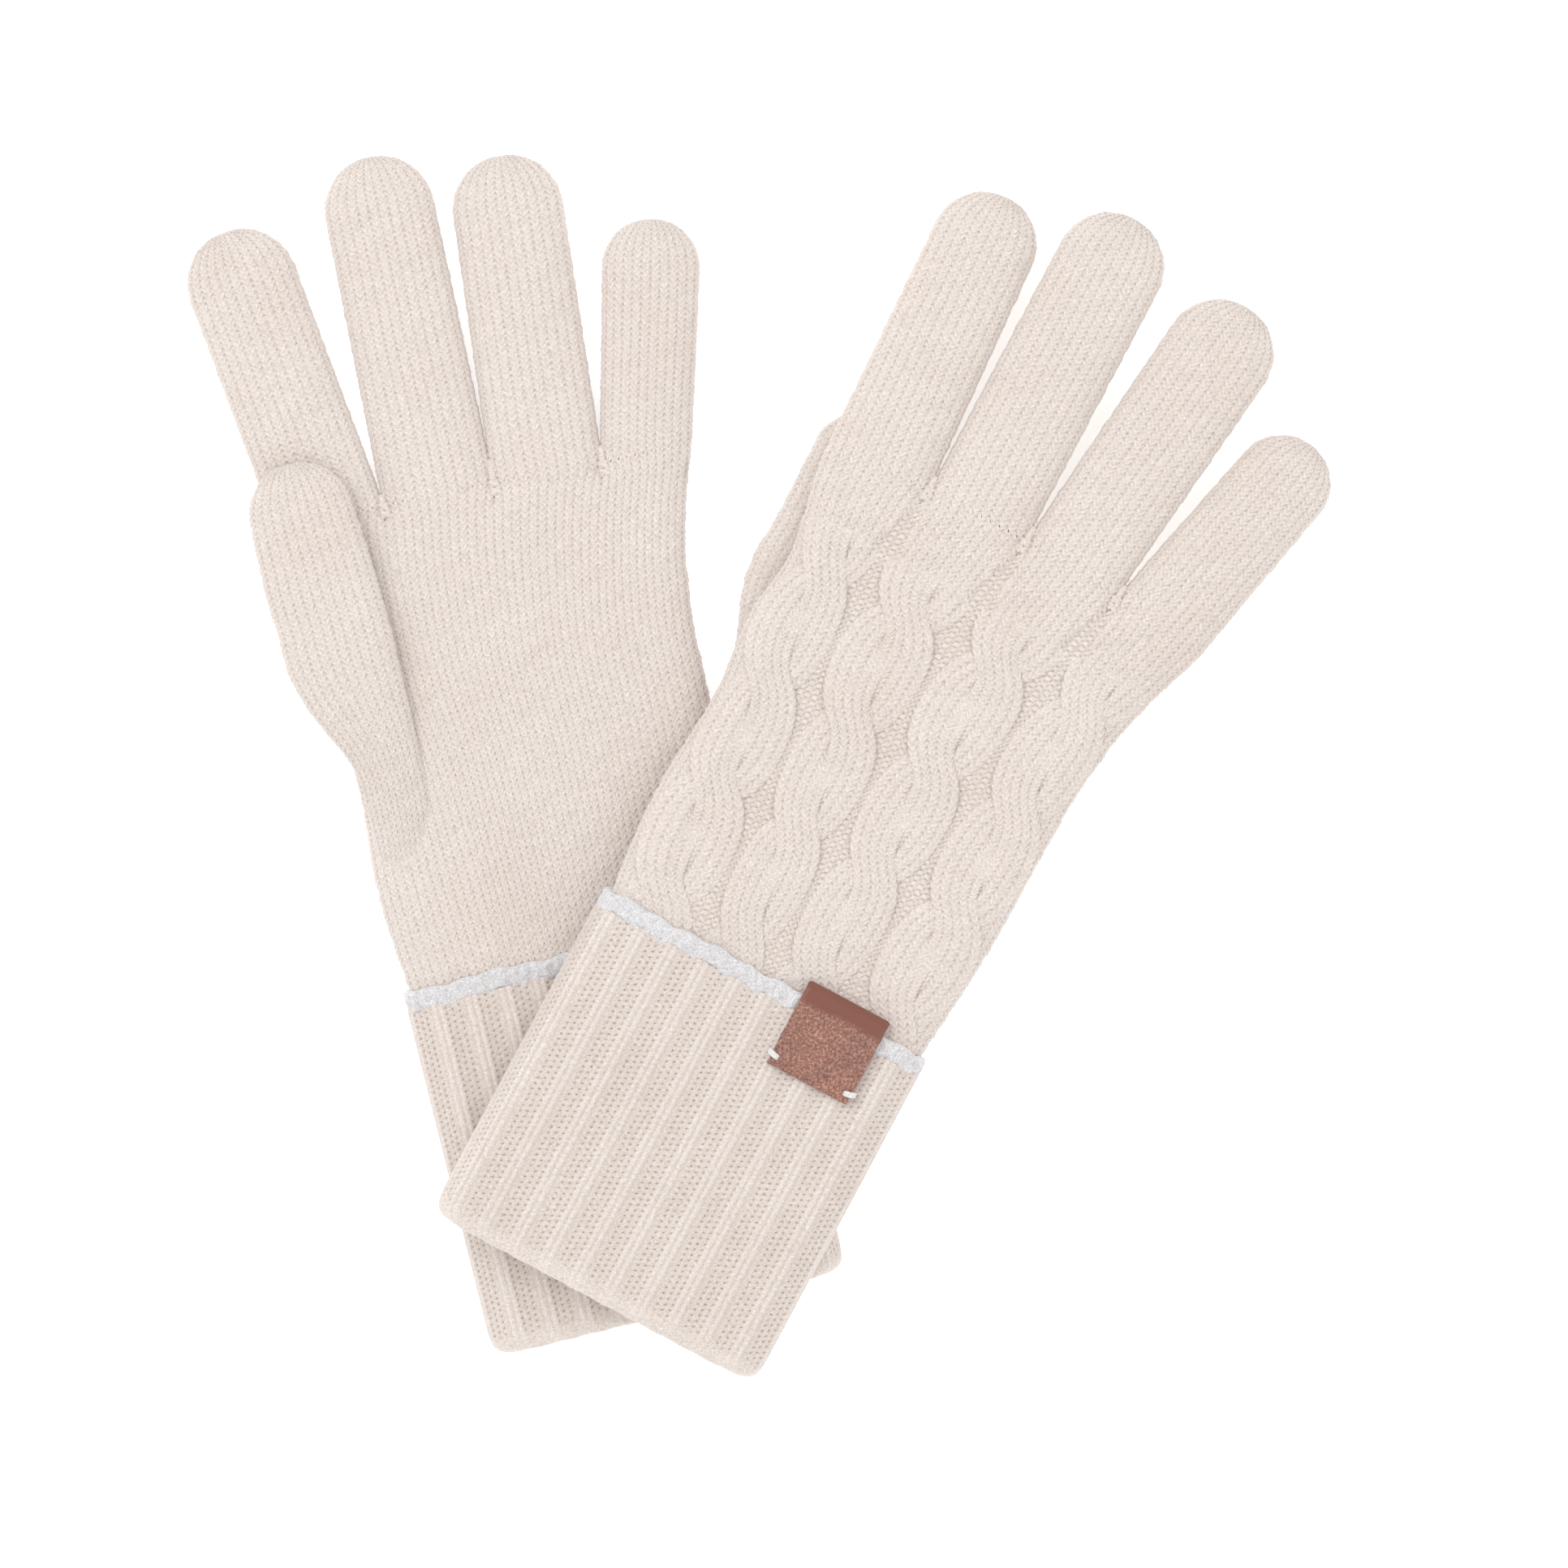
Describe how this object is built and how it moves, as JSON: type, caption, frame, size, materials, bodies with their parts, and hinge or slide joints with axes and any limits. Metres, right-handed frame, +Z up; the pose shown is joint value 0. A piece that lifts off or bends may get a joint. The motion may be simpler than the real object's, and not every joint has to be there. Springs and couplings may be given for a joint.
{
  "type": "pair of knitted gloves",
  "caption": "Pair of full-fingered knitted gloves with cabled backs, ribbed turned-up cuffs and a small leather label, one lying across the other.",
  "frame": {"origin": "middle of the pair's bounding box, on the surface that the pair lies on", "axes": "+Y towards the fingertips, +X towards the right glove's fingers, +Z up from the surface"},
  "size_m": [0.2804, 0.2984, 0.027],
  "materials": {
    "plain_knit": "soft brushed stockinette, off-white",
    "cable_knit": "soft brushed cable knit, off-white",
    "rib_knit": "soft ribbed knit, off-white",
    "linked_edge": "fuzzy linked edge, cool white",
    "linking_yarn": "doubled yarn, off-white",
    "label_leather": "grained brown leather with a low gloss",
    "label_thread": "thick white thread"
  },
  "bodies": {
    "left_hand": {"left_palm_panel": "plain_knit", "left_back_panel": "cable_knit", "left_thumb_gusset": "plain_knit", "left_inner_cuff": "plain_knit", "left_turned_cuff": "rib_knit", "left_cuff_edge": "linked_edge", "left_crotch_stitches": "linking_yarn"},
    "left_thumb": {"left_thumb": "plain_knit"},
    "left_index": {"left_index_finger": "plain_knit"},
    "left_middle": {"left_middle_finger": "plain_knit"},
    "left_ring": {"left_ring_finger": "plain_knit"},
    "left_little": {"left_little_finger": "plain_knit"},
    "right_hand": {"right_palm_panel": "plain_knit", "right_back_panel": "cable_knit", "right_thumb_gusset": "plain_knit", "right_inner_cuff": "plain_knit", "right_turned_cuff": "rib_knit", "right_cuff_edge": "linked_edge", "right_crotch_stitches": "linking_yarn", "right_leather_label": "label_leather", "right_label_stitches": "label_thread"},
    "right_thumb": {"right_thumb": "plain_knit"},
    "right_index": {"right_index_finger": "plain_knit"},
    "right_middle": {"right_middle_finger": "plain_knit"},
    "right_ring": {"right_ring_finger": "plain_knit"},
    "right_little": {"right_little_finger": "plain_knit"}
  },
  "joints": [
    {"name": "right_glove_lift", "type": "slide", "parent": "left_hand", "child": "right_hand", "axis": [0, 0, 1], "range_m": [0, 0.12]},
    {"name": "left_thumb_lift", "type": "hinge", "parent": "left_hand", "child": "left_thumb", "pos_m": [-0.09995, 0.01546, 0.01606], "axis": [0.9703, 0.2419, 0], "range_deg": [0, 80]},
    {"name": "left_index_curl", "type": "hinge", "parent": "left_hand", "child": "left_index", "pos_m": [-0.10959, 0.07582, 0.00845], "axis": [0.9703, 0.2419, 0], "range_deg": [0, 85]},
    {"name": "left_middle_curl", "type": "hinge", "parent": "left_hand", "child": "left_middle", "pos_m": [-0.08259, 0.08049, 0.00848], "axis": [0.9703, 0.2419, 0], "range_deg": [0, 85]},
    {"name": "left_ring_curl", "type": "hinge", "parent": "left_hand", "child": "left_ring", "pos_m": [-0.05555, 0.08465, 0.00852], "axis": [0.9703, 0.2419, 0], "range_deg": [0, 85]},
    {"name": "left_little_curl", "type": "hinge", "parent": "left_hand", "child": "left_little", "pos_m": [-0.03006, 0.08792, 0.00856], "axis": [0.9703, 0.2419, 0], "range_deg": [0, 85]},
    {"name": "right_thumb_lift", "type": "hinge", "parent": "right_hand", "child": "right_thumb", "pos_m": [0.00273, 0.03274, 0.00457], "axis": [-0.8821, 0.471, 0], "range_deg": [0, 80]},
    {"name": "right_index_curl", "type": "hinge", "parent": "right_hand", "child": "right_index", "pos_m": [0.03577, 0.08453, 0.00835], "axis": [-0.8821, 0.471, 0], "range_deg": [0, 85]},
    {"name": "right_middle_curl", "type": "hinge", "parent": "right_hand", "child": "right_middle", "pos_m": [0.05893, 0.0699, 0.00845], "axis": [-0.8821, 0.471, 0], "range_deg": [0, 85]},
    {"name": "right_ring_curl", "type": "hinge", "parent": "right_hand", "child": "right_ring", "pos_m": [0.08179, 0.05486, 0.00857], "axis": [-0.8821, 0.471, 0], "range_deg": [0, 85]},
    {"name": "right_little_curl", "type": "hinge", "parent": "right_hand", "child": "right_little", "pos_m": [0.1029, 0.0402, 0.00871], "axis": [-0.8821, 0.471, 0], "range_deg": [0, 85]}
  ]
}
